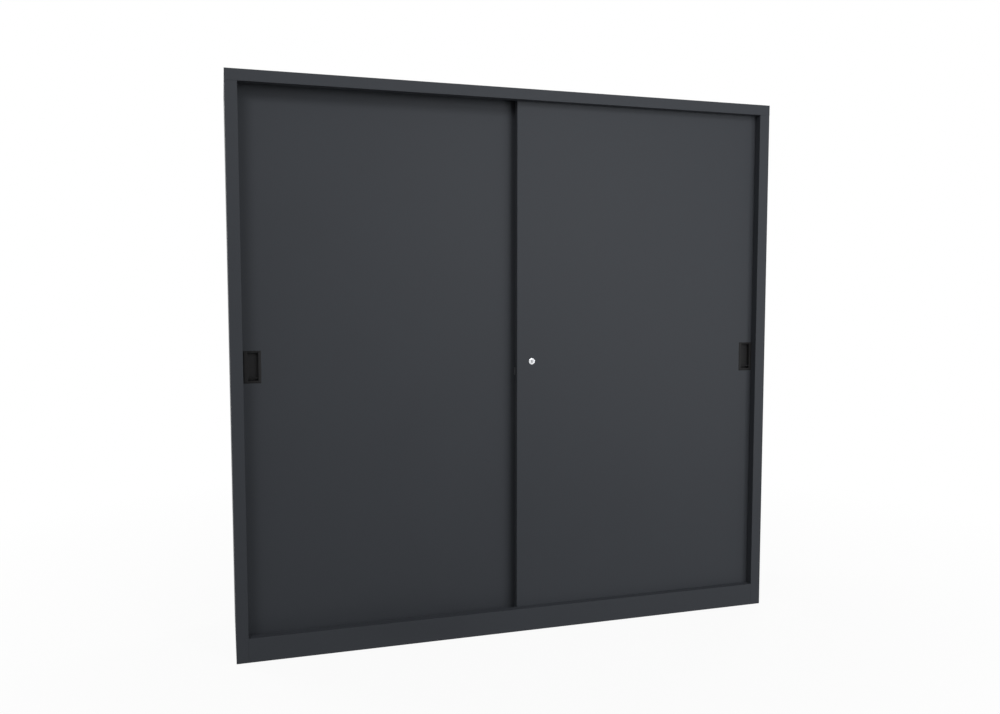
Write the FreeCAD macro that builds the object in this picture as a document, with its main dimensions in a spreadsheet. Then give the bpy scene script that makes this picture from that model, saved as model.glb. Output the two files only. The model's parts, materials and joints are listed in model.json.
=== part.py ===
"""Sliding door cabinet in folded sheet steel: two bays of shelves behind two flat doors.

The doors run on grooved wheels along a double rail in the foot of the cabinet, one behind the other.
Millimetres, +X to the right, +Y to the back, +Z up, origin under the middle of the cabinet on the floor.
"""

import FreeCAD, Part
import os

import Sketcher

SIZES = [
    ("width", 2000, "outer width"),
    ("depth", 450, "outer depth"),
    ("height", 1950, "outer height"),
    ("sheet", 1, "thickness of the folded sheets"),
    ("stile", 40, "width of the frame's uprights, seen from the front"),
    ("fold", 30, "how far the front frame folds back into the cabinet"),
    ("head", 38, "height of the frame's top rail"),
    ("plinth", 82, "height of the frame's bottom rail, and level of the cabinet's floor"),
    ("hem", 10, "upstand behind the top rail's fold"),
    ("rear_fold", 20, "folds at the back edges"),
    ("foot_fold", 25, "folds that the cabinet stands on"),
    ("bend", 0.9, "outer radius of a bend"),
    ("track_level", 50, "level of the step that carries the rails"),
    ("track_end", 104, "front plane to the riser behind the rails"),
    ("track_base", 1.5, "thickness of the double rail's base"),
    ("rail_level", 57, "level of the rails' running edge"),
    ("rail_thick", 2, "thickness of a rail"),
    ("front_inset", 32, "front plane to the face of the front door"),
    ("rear_inset", 75, "front plane to the face of the rear door"),
    ("front_start", 993, "left side of the cabinet to the front door's left edge"),
    ("rear_start", 25, "left side of the cabinet to the rear door's left edge"),
    ("door_width", 988, "width of a door"),
    ("door_foot", 62, "level of a door's bottom edge"),
    ("door_top", 1928, "level of a door's top edge"),
    ("door_thick", 24, "thickness of a door over its folds"),
    ("door_lip", 14, "lips behind a door's side folds"),
    ("front_travel", 967, "travel of the front door, to the left"),
    ("rear_travel", 890, "travel of the rear door, to the right, which leaves its pull free"),
    ("wheel_inset", 70, "door edge to the centre of a wheel"),
    ("wheel_run", 13, "radius at the bottom of a wheel's groove"),
    ("wheel_rim", 16, "radius of a wheel's rims"),
    ("wheel_wide", 9, "width of a wheel"),
    ("groove", 3, "width of a wheel's groove"),
    ("rail_gap", 0.3, "clearance between groove and rail"),
    ("wheel_plane", 13, "door face to the middle of its wheels"),
    ("axle", 3, "radius of a wheel's axle"),
    ("running_gap", 0.05, "radial clearance of a running fit"),
    ("bracket_long", 30, "length of a wheel bracket"),
    ("bracket_wide", 14, "inner width of a wheel bracket"),
    ("bracket_tall", 30, "height of a wheel bracket"),
    ("bracket_sheet", 1.5, "thickness of a wheel bracket"),
    ("wheel_slot", 35, "length of the slot under a wheel"),
    ("guide_inset", 90, "door edge to the centre of a top guide"),
    ("guide_long", 48, "length of a top guide"),
    ("guide_wide", 13.6, "width of a top guide"),
    ("guide_top", 1944, "level of a top guide's upper face"),
    ("guide_bevel", 4, "bevel on the ends of a top guide"),
    ("channel_wide", 15, "inner width of each guide channel"),
    ("channel_deep", 17, "depth of the guide channels"),
    ("pull_level", 986.5, "level of the finger pulls' centre"),
    ("pull_inset", 20.5, "door edge to the edge of its finger pull"),
    ("pull_wide", 54, "width of a finger pull's rim"),
    ("pull_tall", 110, "height of a finger pull's rim"),
    ("pull_proud", 1.2, "how far the rim stands on the door"),
    ("pull_corner", 3, "corner radius of the rim"),
    ("cup_wide", 38, "outer width of the pull's cup"),
    ("cup_tall", 97, "outer height of the pull's cup"),
    ("cup_deep", 15, "depth of the cup behind the door's face"),
    ("cup_wall", 1.5, "wall of the cup"),
    ("cup_gap", 0.5, "clearance of the cup in the door's opening"),
    ("rest_level", 11, "cup's lower wall to the finger rest across its foot"),
    ("rest_deep", 4, "how far the finger rest stands off the cup's floor"),
    ("rest_thick", 3, "thickness of the finger rest"),
    ("lock_inset", 56, "front door's left edge to the centre of the lock"),
    ("lock_level", 987, "level of the lock"),
    ("lock_rim", 11.5, "radius of the lock's face"),
    ("lock_face", 2.5, "thickness of the lock's face"),
    ("lock_barrel", 9, "radius of the lock's barrel"),
    ("lock_end", 60, "front plane to the end of the lock's barrel"),
    ("plug", 6, "radius of the turning plug"),
    ("plug_proud", 0.4, "how far the plug stands out of the lock's face"),
    ("shank", 7.2, "side of the plug's square shank"),
    ("key_wide", 1.8, "width of the keyway"),
    ("key_tall", 7.5, "height of the keyway"),
    ("key_deep", 16, "depth of the keyway"),
    ("nut_flats", 24, "width across the flats of the lock's nut"),
    ("nut_thick", 5, "thickness of the lock's nut"),
    ("cam_start", 60.5, "front plane to the cam's front face"),
    ("cam_thick", 2.5, "thickness of the cam"),
    ("cam_wide", 16, "width of the cam"),
    ("cam_reach", 46, "reach of the cam from the plug's centre"),
    ("cam_corner", 5, "bevel on the corners of the cam"),
    ("screw_flats", 10, "width across the flats of the screw behind the cam"),
    ("screw_head", 4, "height of that screw's head"),
    ("strike_low", 935, "lower edge of the strike"),
    ("strike_high", 964, "upper edge of the strike"),
    ("strike_start", 15, "rear door's right edge to the strike's fixed end"),
    ("strike_gap", 2, "clearance between the strike and the turned cam"),
    ("strike_front", 59, "front plane to the strike's nose"),
    ("strike_sheet", 2, "thickness of the strike"),
    ("stop_tall", 24, "height of a rubber stop over the rail's base"),
    ("stop_wide", 14, "width of a rubber stop"),
    ("stop_long", 26, "length of the stop that limits the rear door"),
    ("stop_gap", 0.5, "clearance between a stop and a door at its limit"),
    ("wall", 30, "thickness of the middle wall"),
    ("wall_front", 105, "front plane to the middle wall"),
    ("bearer_wide", 60, "width of the bearer under the middle wall"),
    ("rib_wide", 70, "width of a door's stiffening rib"),
    ("rib_deep", 20, "depth of a door's stiffening rib"),
    ("upright_wide", 30, "width of a slotted upright"),
    ("upright_deep", 8, "depth of a slotted upright"),
    ("upright_front", 145, "front plane to the front uprights"),
    ("upright_rear", 385, "front plane to the rear uprights"),
    ("upright_top", 1890, "level of the uprights' top ends"),
    ("slot_count", 10, "slots in an upright"),
    ("slot_pitch", 180, "spacing of the slots"),
    ("slots_below", 1, "slots below the one that carries the lowest shelf"),
    ("slot_wide", 6, "width of a slot"),
    ("slot_tall", 12, "height of a slot"),
    ("shelf_first", 442, "level of the lowest shelf"),
    ("shelf_step", 360, "spacing of the shelves"),
    ("shelf_count", 4, "shelves in a bay"),
    ("shelf_front", 112, "front plane to the shelves' front edge"),
    ("shelf_rear", 440, "front plane to the shelves' rear edge"),
    ("shelf_gap", 2, "clearance between a shelf and the uprights"),
    ("shelf_edge", 25, "height of a shelf's folded front and rear edges"),
    ("shelf_side", 15, "height of a shelf's folded sides"),
    ("shelf_turn", 12, "inner fold under a shelf's edges"),
    ("clip_sheet", 1.5, "thickness of a shelf clip"),
    ("clip_reach", 12, "reach of a clip's tongue under the shelf"),
    ("clip_wide", 5, "width of a clip"),
    ("clip_hook", 3, "reach of a clip through its slot"),
    ("clip_drop", 8, "height of the lip that hooks a clip behind its slot"),
]

LEFT = "(-dim.width / 2)"
RIGHT = "(dim.width / 2)"
BACK = "(dim.depth / 2)"
TOP = "dim.height"
WHEEL_LEVEL = "(dim.rail_level + dim.rail_gap + dim.wheel_run)"
LOCK_X = "(-dim.width / 2 + dim.front_start + dim.lock_inset)"
PLANE_SIGN = {"XY_Plane": "", "YZ_Plane": "", "XZ_Plane": "-"}
TOLERANCE = 0.01

doc = FreeCAD.newDocument("sliding_door_cabinet")
dim = doc.addObject("Spreadsheet::Sheet", "dim")
for row, (alias, value, meaning) in enumerate(SIZES, 1):
    dim.set(f"A{row}", meaning)
    dim.set(f"B{row}", str(value))
    dim.setAlias(f"B{row}", alias)
doc.recompute()
parts = []


def inset(distance):
    """Y of a plane so far behind the cabinet's front."""
    return f"({distance} - dim.depth / 2)"


def new_body(label, several=False):
    """A body whose label names its file. several allows a group of separate solids."""
    body = doc.addObject("PartDesign::Body", label)
    body.Label = label
    body.AllowCompound = several
    parts.append(body)
    return body


def origin(body, role):
    return next(item for item in body.Origin.OriginFeatures if item.Role == role)


def rectangle(x0, x1, y0, y1):
    return [(x0, y0), (x1, y0), (x1, y1), (x0, y1)]


def outline(body, name, plane, loops, level, across="0"):
    """A sketch of closed loops, each a list of (across, up) expressions, on a plane moved to level."""
    sketch = body.newObject("Sketcher::SketchObject", name)
    sketch.AttachmentSupport = (origin(body, plane), [""])
    sketch.MapMode = "FlatFace"
    sketch.setExpression("AttachmentOffset.Base.x", across)
    sketch.setExpression("AttachmentOffset.Base.z", f"{PLANE_SIGN[plane]}({level})")
    for corners in loops:
        first = sketch.GeometryCount
        points = [FreeCAD.Vector(*(body.evalExpression(each) for each in corner)) for corner in corners]
        for start, end in zip(points, points[1:] + points[:1]):
            sketch.addGeometry(Part.LineSegment(start, end))
        for index, corner in enumerate(corners):
            line = first + index
            previous = first + (index - 1) % len(corners)
            sketch.addConstraint(Sketcher.Constraint("Coincident", previous, 2, line, 1))
            for kind, place, value in zip(("DistanceX", "DistanceY"), points[index], corner):
                number = sketch.addConstraint(Sketcher.Constraint(kind, -1, 1, line, 1, place))
                sketch.setExpression(f"Constraints[{number}]", value)
    return sketch


def circle(body, name, plane, across, up, radius, level):
    """A sketch of one circle on a plane moved to level."""
    sketch = body.newObject("Sketcher::SketchObject", name)
    sketch.AttachmentSupport = (origin(body, plane), [""])
    sketch.MapMode = "FlatFace"
    sketch.setExpression("AttachmentOffset.Base.x", across)
    sketch.setExpression("AttachmentOffset.Base.y", up)
    sketch.setExpression("AttachmentOffset.Base.z", f"{PLANE_SIGN[plane]}({level})")
    sketch.addGeometry(Part.Circle(FreeCAD.Vector(), FreeCAD.Vector(0, 0, 1), body.evalExpression(radius)))
    sketch.addConstraint(Sketcher.Constraint("Coincident", 0, 3, -1, 1))
    number = sketch.addConstraint(Sketcher.Constraint("Radius", 0, body.evalExpression(radius)))
    sketch.setExpression(f"Constraints[{number}]", radius)
    return sketch


def pad(body, name, sketch, length):
    """Material from the sketch's level, along +X, +Y or +Z."""
    feature = body.newObject("PartDesign::Pad", name)
    feature.Profile = sketch
    feature.setExpression("Length", length)
    feature.Reversed = sketch.AttachmentSupport[0][0].Role == "XZ_Plane"
    return feature


def pocket(body, name, sketch, length):
    """A cut from the sketch's level, along +X, +Y or +Z."""
    feature = body.newObject("PartDesign::Pocket", name)
    feature.Profile = sketch
    feature.setExpression("Length", length)
    feature.Reversed = sketch.AttachmentSupport[0][0].Role != "XZ_Plane"
    return feature


def turned(body, name, profile, across, level):
    """A solid turned about a line along Y through (across, level), from (radius, y) expressions."""
    sketch = outline(body, f"{name}_profile", "XY_Plane", [profile], level, across)
    feature = body.newObject("PartDesign::Revolution", name)
    feature.Profile = sketch
    feature.ReferenceAxis = (sketch, ["V_Axis"])
    return feature


def linear_pattern(body, name, axis, length, count):
    feature = body.newObject("PartDesign::LinearPattern", name)
    feature.Direction = (origin(body, axis), [""])
    feature.setExpression("Length", length)
    feature.setExpression("Occurrences", count)
    return feature


def dress_edges(body, kind, name, base, size, chosen):
    """A Fillet or Chamfer on the base feature's edges whose (start, end) points are chosen."""
    doc.recompute()
    names = []
    for number, edge in enumerate(base.Shape.Edges, 1):
        ends = [vertex.Point for vertex in edge.Vertexes]
        if len(ends) == 2 and chosen(*ends):
            names.append(f"Edge{number}")
    feature = body.newObject(f"PartDesign::{kind}", name)
    feature.Base = (base, names)
    feature.setExpression({"Fillet": "Radius", "Chamfer": "Size"}[kind], size)
    body.Tip = feature
    return feature


def round_edges(body, name, base, radius, chosen):
    return dress_edges(body, "Fillet", name, base, radius, chosen)


def near(value, expression):
    return abs(value - dim.evalExpression(expression)) < TOLERANCE


def runs_along(axis, start, end):
    """True for an edge between two points that is parallel to the axis x, y or z."""
    direction = end - start
    return abs(abs(getattr(direction, axis)) - direction.Length) < TOLERANCE


# The carcass: folded sheets, welded where they meet.


def side_panel(label, side):
    """A side with its front upright folded in plan; side is -1 on the left and 1 on the right."""
    body = new_body(label)
    outer = f"({side} * dim.width / 2)"
    front = inset("0")

    def into(distance):
        return f"({outer} - {side} * ({distance}))"

    plan = [
        (outer, front),
        (into("dim.stile"), front),
        (into("dim.stile"), inset("dim.fold")),
        (into("dim.stile - dim.sheet"), inset("dim.fold")),
        (into("dim.stile - dim.sheet"), inset("dim.sheet")),
        (into("dim.sheet"), inset("dim.sheet")),
        (into("dim.sheet"), f"{BACK} - dim.sheet"),
        (into("dim.rear_fold"), f"{BACK} - dim.sheet"),
        (into("dim.rear_fold"), BACK),
        (outer, BACK),
    ]
    pad(body, "wall", outline(body, "plan", "XY_Plane", [plan], "0"), f"{TOP} - dim.sheet")
    front_notch = [
        (outer, front),
        (into("dim.stile"), front),
        (into("dim.stile"), inset("dim.fold")),
        (into("dim.sheet"), inset("dim.fold")),
        (into("dim.sheet"), inset("dim.sheet")),
        (outer, inset("dim.sheet")),
    ]
    under_rail = outline(body, "front_notch", "XY_Plane", [front_notch], f"{TOP} - dim.head")
    pocket(body, "under_top_rail", under_rail, "dim.head")
    rear_notch = rectangle(outer, into("dim.rear_fold"), f"{BACK} - dim.sheet", BACK)
    under_fold = outline(body, "rear_notch", "XY_Plane", [rear_notch], f"{TOP} - dim.rear_fold")
    cut = pocket(body, "under_rear_fold", under_fold, "dim.rear_fold")

    def front_bend(start, end):
        return runs_along("z", start, end) and near(start.y, inset("0"))

    round_edges(body, "bends", cut, "dim.bend", front_bend)
    sole = rectangle(into("dim.sheet"), into("dim.rear_fold"), inset("dim.fold"), f"{BACK} - dim.sheet")
    pad(body, "foot_fold", outline(body, "sole", "XY_Plane", [sole], "0"), "dim.sheet")


def top_panel():
    """The lid: its front edge is folded into the top rail, which covers the ends of the uprights."""
    body = new_body("top_panel")
    under = f"{TOP} - dim.head"
    section = [
        (inset("0"), TOP),
        (inset("0"), under),
        (inset("dim.fold"), under),
        (inset("dim.fold"), f"{under} + dim.hem"),
        (inset("dim.fold - dim.sheet"), f"{under} + dim.hem"),
        (inset("dim.fold - dim.sheet"), f"{under} + dim.sheet"),
        (inset("dim.sheet"), f"{under} + dim.sheet"),
        (inset("dim.sheet"), f"{TOP} - dim.sheet"),
        (f"{BACK} - dim.sheet", f"{TOP} - dim.sheet"),
        (f"{BACK} - dim.sheet", f"{TOP} - dim.rear_fold"),
        (BACK, f"{TOP} - dim.rear_fold"),
        (BACK, TOP),
    ]
    lid = pad(body, "lid", outline(body, "section", "YZ_Plane", [section], LEFT), "dim.width")

    def front_bend(start, end):
        return runs_along("x", start, end) and near(start.y, inset("0"))

    round_edges(body, "bends", lid, "dim.bend", front_bend)
    ends = [
        rectangle(x, f"{x} + dim.sheet", inset("dim.sheet"), f"{BACK} - dim.sheet")
        for x in (LEFT, f"{RIGHT} - dim.sheet")
    ]
    pocket(body, "over_sides", outline(body, "ends", "XY_Plane", ends, under), "dim.head - dim.sheet")


def plinth_front():
    """The bottom rail between the uprights: face, ledge, and a lip down to the step for the rails."""
    body = new_body("plinth_front")
    section = [
        (inset("0"), "0"),
        (inset("dim.foot_fold"), "0"),
        (inset("dim.foot_fold"), "dim.sheet"),
        (inset("dim.sheet"), "dim.sheet"),
        (inset("dim.sheet"), "dim.plinth - dim.sheet"),
        (inset("dim.fold - dim.sheet"), "dim.plinth - dim.sheet"),
        (inset("dim.fold - dim.sheet"), "dim.track_level - dim.sheet"),
        (inset("dim.fold"), "dim.track_level - dim.sheet"),
        (inset("dim.fold"), "dim.plinth"),
        (inset("0"), "dim.plinth"),
    ]
    start = f"{LEFT} + dim.stile"
    rail = pad(body, "rail", outline(body, "section", "YZ_Plane", [section], start),
               "dim.width - 2 * dim.stile")

    def ledge_bend(start, end):
        return runs_along("x", start, end) and near(start.z, "dim.plinth")

    round_edges(body, "bends", rail, "dim.bend", ledge_bend)


def plinth_rear():
    """The rail that closes the foot of the cabinet at the back."""
    body = new_body("plinth_rear")
    section = [
        (BACK, "0"),
        (BACK, "dim.plinth"),
        (f"{BACK} - dim.sheet", "dim.plinth"),
        (f"{BACK} - dim.sheet", "dim.sheet"),
        (f"{BACK} - dim.foot_fold", "dim.sheet"),
        (f"{BACK} - dim.foot_fold", "0"),
    ]
    start = f"{LEFT} + dim.rear_fold"
    pad(body, "rail", outline(body, "section", "YZ_Plane", [section], start), "dim.width - 2 * dim.rear_fold")


def floor_panel():
    """The cabinet's floor, folded down at the back, and at the front into a riser that stands on the step."""
    body = new_body("floor_panel")
    back = f"{BACK} - 2 * dim.sheet"
    section = [
        (inset("dim.track_end"), "dim.track_level"),
        (inset("dim.track_end + dim.sheet"), "dim.track_level"),
        (inset("dim.track_end + dim.sheet"), "dim.plinth - dim.sheet"),
        (f"{back} - dim.sheet", "dim.plinth - dim.sheet"),
        (f"{back} - dim.sheet", "dim.plinth - dim.rear_fold"),
        (back, "dim.plinth - dim.rear_fold"),
        (back, "dim.plinth"),
        (inset("dim.track_end"), "dim.plinth"),
    ]
    start = f"{LEFT} + dim.sheet"
    pad(body, "floor", outline(body, "section", "YZ_Plane", [section], start), "dim.width - 2 * dim.sheet")


def track_step():
    """The flat sheet between the bottom rail's lip and the riser, below the floor, that carries the rails."""
    body = new_body("track_step")
    width = "dim.width - 2 * dim.sheet"
    section = rectangle(inset("dim.fold"), inset("dim.track_end + dim.sheet"),
                        "dim.track_level - dim.sheet", "dim.track_level")
    pad(body, "sheet", outline(body, "section", "YZ_Plane", [section], f"{LEFT} + dim.sheet"), width)


def centre_bearer():
    """A channel on its side under the floor, which carries the middle wall."""
    body = new_body("centre_bearer")
    half = "dim.bearer_wide / 2"
    high = "dim.plinth - dim.sheet"
    section = [
        (f"-{half}", "0"),
        (half, "0"),
        (half, "dim.sheet"),
        (f"-{half} + dim.sheet", "dim.sheet"),
        (f"-{half} + dim.sheet", f"{high} - dim.sheet"),
        (half, f"{high} - dim.sheet"),
        (half, high),
        (f"-{half}", high),
    ]
    start = inset("dim.track_end + 2 * dim.sheet")
    length = f"{BACK} - dim.foot_fold - 2 * dim.sheet - {start}"
    pad(body, "channel", outline(body, "section", "XZ_Plane", [section], start), length)


def back_panel(label, side):
    """One half of the back, with a fold at its top and bottom edges."""
    body = new_body(label)
    outer = f"{BACK} - dim.sheet"
    inner = f"{BACK} - 2 * dim.sheet"
    fold = f"{BACK} - dim.rear_fold"
    high = f"{TOP} - dim.sheet"
    section = [
        (outer, "dim.plinth"),
        (outer, high),
        (fold, high),
        (fold, f"{high} - dim.sheet"),
        (inner, f"{high} - dim.sheet"),
        (inner, "dim.plinth + dim.sheet"),
        (fold, "dim.plinth + dim.sheet"),
        (fold, "dim.plinth"),
    ]
    start = {-1: f"{LEFT} + dim.sheet", 1: "dim.wall / 2"}[side]
    pad(body, "sheet", outline(body, "section", "YZ_Plane", [section], start),
        "dim.width / 2 - dim.sheet - dim.wall / 2")


def wall_skin(label, side):
    """One of the two channels that make the hollow middle wall, which shows as a strip in the back."""
    body = new_body(label)
    face = f"({side} * dim.wall / 2)"
    inner = f"({face} - {side} * dim.sheet)"
    rear = f"({BACK} - dim.sheet)"
    plan = [
        (face, inset("dim.wall_front")),
        ("0", inset("dim.wall_front")),
        ("0", inset("dim.wall_front + dim.sheet")),
        (inner, inset("dim.wall_front + dim.sheet")),
        (inner, f"{rear} - dim.sheet"),
        ("0", f"{rear} - dim.sheet"),
        ("0", rear),
        (face, rear),
    ]
    pad(body, "channel", outline(body, "plan", "XY_Plane", [plan], "dim.plinth"),
        f"{TOP} - dim.sheet - dim.plinth")


def bottom_track():
    """The double rail on the step: a flat base with a thin running edge for each door."""
    body = new_body("bottom_track")
    base = "dim.track_level + dim.track_base"
    section = [(inset("dim.fold + dim.sheet"), "dim.track_level")]
    section.append((inset("dim.track_end - dim.sheet"), "dim.track_level"))
    section.append((inset("dim.track_end - dim.sheet"), base))
    for door in ("dim.rear_inset", "dim.front_inset"):
        middle = f"{door} + dim.wheel_plane"
        for side, levels in ((1, (base, "dim.rail_level")), (-1, ("dim.rail_level", base))):
            edge = inset(f"{middle} + {side} * dim.rail_thick / 2")
            section.extend((edge, level) for level in levels)
    section.append((inset("dim.fold + dim.sheet"), base))
    start = f"{LEFT} + dim.sheet"
    pad(body, "rails", outline(body, "section", "YZ_Plane", [section], start), "dim.width - 2 * dim.sheet")


def top_track():
    """Two channels open downwards, under the lid, in which the doors' guides slide."""
    body = new_body("top_track")
    high = f"{TOP} - dim.sheet"
    low = f"{high} - dim.channel_deep"
    base = f"{high} - dim.sheet"
    half = "dim.channel_wide / 2"
    first = f"dim.front_inset + dim.wheel_plane - {half} - dim.sheet"
    last = f"dim.rear_inset + dim.wheel_plane + {half} + dim.sheet"
    section = [(inset(last), high), (inset(first), high), (inset(first), low)]
    for door in ("dim.front_inset", "dim.rear_inset"):
        middle = f"{door} + dim.wheel_plane"
        section.append((inset(f"{middle} - {half}"), low))
        section.append((inset(f"{middle} - {half}"), base))
        section.append((inset(f"{middle} + {half}"), base))
        section.append((inset(f"{middle} + {half}"), low))
        section.append((inset(f"{middle} + {half} + dim.sheet"), low))
        if door == "dim.front_inset":
            section.append((inset(f"{middle} + {half} + dim.sheet"), base))
            section.append((inset(f"dim.rear_inset + dim.wheel_plane - {half} - dim.sheet"), base))
            section.append((inset(f"dim.rear_inset + dim.wheel_plane - {half} - dim.sheet"), low))
    start = f"{LEFT} + dim.sheet"
    pad(body, "channels", outline(body, "section", "YZ_Plane", [section], start), "dim.width - 2 * dim.sheet")


def rubber_stop(label, door, start, length):
    """A rubber block that straddles one rail and takes the edge of a door."""
    body = new_body(label)
    middle = f"{door} + dim.wheel_plane"
    low = "dim.track_level + dim.track_base"
    section = [
        (inset(f"{middle} - dim.stop_wide / 2"), low),
        (inset(f"{middle} - dim.rail_thick / 2"), low),
        (inset(f"{middle} - dim.rail_thick / 2"), "dim.rail_level"),
        (inset(f"{middle} + dim.rail_thick / 2"), "dim.rail_level"),
        (inset(f"{middle} + dim.rail_thick / 2"), low),
        (inset(f"{middle} + dim.stop_wide / 2"), low),
        (inset(f"{middle} + dim.stop_wide / 2"), f"{low} + dim.stop_tall"),
        (inset(f"{middle} - dim.stop_wide / 2"), f"{low} + dim.stop_tall"),
    ]
    pad(body, "block", outline(body, "section", "YZ_Plane", [section], start), length)


# The shelves, their slotted uprights and their clips.

WALL_FACES = {
    "left_side": (f"({LEFT} + dim.sheet)", 1),
    "wall_left_face": ("(-dim.wall / 2)", -1),
    "wall_right_face": ("(dim.wall / 2)", 1),
    "right_side": (f"({RIGHT} - dim.sheet)", -1),
}


def uprights(label, face, way):
    """A front and a rear channel on one face of a wall, with slots for the shelf clips."""
    body = new_body(label, several=True)

    def out(distance):
        return f"({face} + {way} * ({distance}))"

    plans = []
    slots = []
    for start in ("dim.upright_front", "dim.upright_rear"):
        end = f"{start} + dim.upright_wide"
        plans.append([
            (out("0"), inset(start)),
            (out("dim.upright_deep"), inset(start)),
            (out("dim.upright_deep"), inset(end)),
            (out("0"), inset(end)),
            (out("0"), inset(f"{end} - dim.sheet")),
            (out("dim.upright_deep - dim.sheet"), inset(f"{end} - dim.sheet")),
            (out("dim.upright_deep - dim.sheet"), inset(f"{start} + dim.sheet")),
            (out("0"), inset(f"{start} + dim.sheet")),
        ])
        middle = f"{start} + dim.upright_wide / 2"
        carried = "dim.shelf_first - dim.shelf_side - dim.clip_sheet + dim.slot_tall / 2"
        level = f"{carried} - dim.slots_below * dim.slot_pitch"
        slots.append(rectangle(
            inset(f"{middle} - dim.slot_wide / 2"),
            inset(f"{middle} + dim.slot_wide / 2"),
            f"{level} - dim.slot_tall / 2",
            f"{level} + dim.slot_tall / 2",
        ))
    pad(body, "channels", outline(body, "plan", "XY_Plane", plans, "dim.plinth"),
        "dim.upright_top - dim.plinth")
    web = {1: out("dim.upright_deep - dim.sheet"), -1: out("dim.upright_deep")}[way]
    slot = pocket(body, "slot", outline(body, "slot_outline", "YZ_Plane", slots, web), "dim.sheet")
    doc.recompute()
    row_length = "(dim.slot_count - 1) * dim.slot_pitch"
    pattern = linear_pattern(body, "slots", "Z_Axis", row_length, "dim.slot_count")
    pattern.Originals = [slot]
    body.Tip = pattern


def shelf(label, face, number):
    """A tray turned upside down: four folded edges, the front and rear ones turned in again."""
    body = new_body(label)
    high = f"(dim.shelf_first + {number} * dim.shelf_step)"
    low = f"{high} - dim.shelf_edge"
    section = [
        (inset("dim.shelf_front"), low),
        (inset("dim.shelf_front + dim.shelf_turn"), low),
        (inset("dim.shelf_front + dim.shelf_turn"), f"{low} + dim.sheet"),
        (inset("dim.shelf_front + dim.sheet"), f"{low} + dim.sheet"),
        (inset("dim.shelf_front + dim.sheet"), f"{high} - dim.sheet"),
        (inset("dim.shelf_rear - dim.sheet"), f"{high} - dim.sheet"),
        (inset("dim.shelf_rear - dim.sheet"), f"{low} + dim.sheet"),
        (inset("dim.shelf_rear - dim.shelf_turn"), f"{low} + dim.sheet"),
        (inset("dim.shelf_rear - dim.shelf_turn"), low),
        (inset("dim.shelf_rear"), low),
        (inset("dim.shelf_rear"), high),
        (inset("dim.shelf_front"), high),
    ]
    gap = "dim.upright_deep + dim.shelf_gap"
    start = f"({face} + {gap})"
    length = f"(dim.width / 2 - dim.sheet - dim.wall / 2 - 2 * ({gap}))"
    tray = pad(body, "tray", outline(body, "section", "YZ_Plane", [section], start), length)

    def front_bend(first, last):
        return runs_along("x", first, last) and near(first.y, inset("dim.shelf_front"))

    dress_edges(body, "Chamfer", "bends", tray, "dim.bend", front_bend)
    sides = [
        rectangle(x, f"{x} + dim.sheet", inset("dim.shelf_front + dim.sheet"),
                  inset("dim.shelf_rear - dim.sheet"))
        for x in (start, f"{start} + {length} - dim.sheet")
    ]
    pad(body, "side_folds", outline(body, "sides", "XY_Plane", sides, f"{high} - dim.shelf_side"),
        "dim.shelf_side - dim.sheet / 2")


def shelf_clips():
    """Bent steel strips, four to a shelf: a tongue through a slot, with a lip that hooks behind it."""
    body = new_body("shelf_clips", several=True)
    ledge = "dim.shelf_first - dim.shelf_side"
    start = inset("dim.upright_front + dim.upright_wide / 2 - dim.clip_wide / 2")
    clips = []
    for name, (face, way) in WALL_FACES.items():

        def out(distance):
            return f"({face} + {way} * (dim.upright_deep + {distance}))"

        section = [
            (out("-dim.clip_hook"), f"{ledge} - dim.clip_drop"),
            (out("-dim.clip_hook + dim.clip_sheet"), f"{ledge} - dim.clip_drop"),
            (out("-dim.clip_hook + dim.clip_sheet"), f"{ledge} - dim.clip_sheet"),
            (out("dim.clip_reach"), f"{ledge} - dim.clip_sheet"),
            (out("dim.clip_reach"), ledge),
            (out("-dim.clip_hook"), ledge),
        ]
        sketch = outline(body, f"clip_on_{name}", "XZ_Plane", [section], start)
        clips.append(pad(body, f"hook_on_{name}", sketch, "dim.clip_wide"))
    doc.recompute()
    rows = body.newObject("PartDesign::MultiTransform", "rows")
    rows.Originals = clips
    levels = linear_pattern(body, "levels", "Z_Axis", "(dim.shelf_count - 1) * dim.shelf_step",
                            "dim.shelf_count")
    pairs = linear_pattern(body, "pairs", "Y_Axis", "dim.upright_rear - dim.upright_front", "2")
    rows.Transformations = [levels, pairs]
    body.Tip = rows


# The doors and what each of them carries.


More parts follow.
